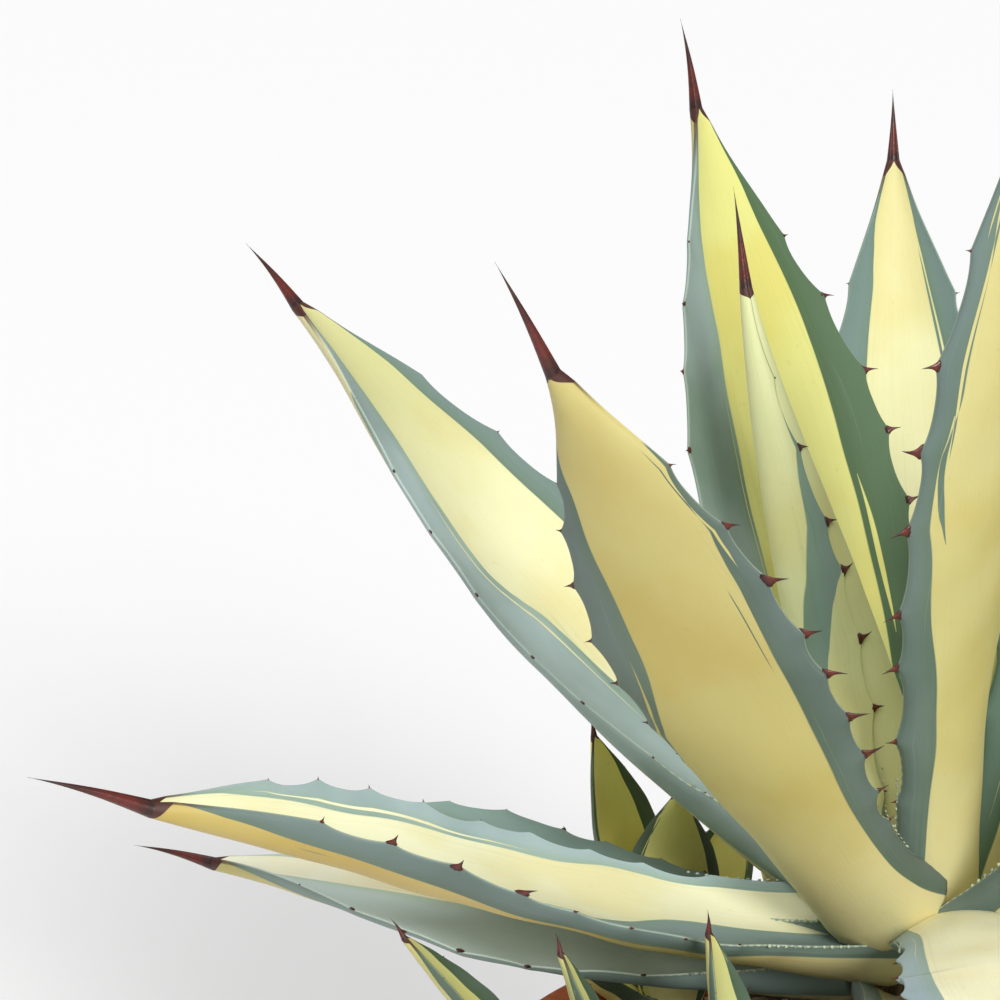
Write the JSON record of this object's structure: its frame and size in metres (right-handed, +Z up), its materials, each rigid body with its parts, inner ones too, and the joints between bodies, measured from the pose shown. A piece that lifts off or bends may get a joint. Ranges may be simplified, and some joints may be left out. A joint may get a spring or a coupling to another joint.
{
  "type": "potted variegated century plant",
  "caption": "Potted century plant: a rosette of thick channelled leaves with a pale central stripe, toothed blue-green margins and horny points, with offsets, soil and a plain clay pot.",
  "frame": {"origin": "middle of the underside of the pot's foot", "axes": "+Z up along the pot's axis; the pictured side faces -Y, with +X to the right of the picture"},
  "size_m": [0.7375, 0.7024, 0.7656],
  "materials": {
    "leaf": "satin",
    "offset_leaf": "satin",
    "stem": "matte",
    "soil": "matte",
    "terracotta": "matte"
  },
  "bodies": {
    "root": {"leaf_bud": "leaf", "leaf_heart": "leaf", "leaf_back_tall": "leaf", "leaf_back_right": "leaf", "leaf_front_right": "leaf", "leaf_front_left": "leaf", "leaf_left_high": "leaf", "leaf_right_tall": "leaf", "leaf_behind_tall": "leaf", "leaf_left_low": "leaf", "leaf_right_front": "leaf", "leaf_front_low": "leaf", "leaf_left_middle": "leaf", "leaf_left_lowest": "leaf", "leaf_right_middle": "leaf", "leaf_behind_middle": "leaf", "leaf_behind_left": "leaf", "leaf_right_low": "leaf", "leaf_behind_low": "leaf", "leaf_front_lowest": "leaf", "leaf_right_lowest": "leaf", "offset_back_left_a": "offset_leaf", "offset_back_left_b": "offset_leaf", "offset_front_left": "offset_leaf", "offset_behind": "offset_leaf", "offset_right": "offset_leaf", "stem": "stem", "soil": "soil", "pot": "terracotta"}
  },
  "joints": []
}
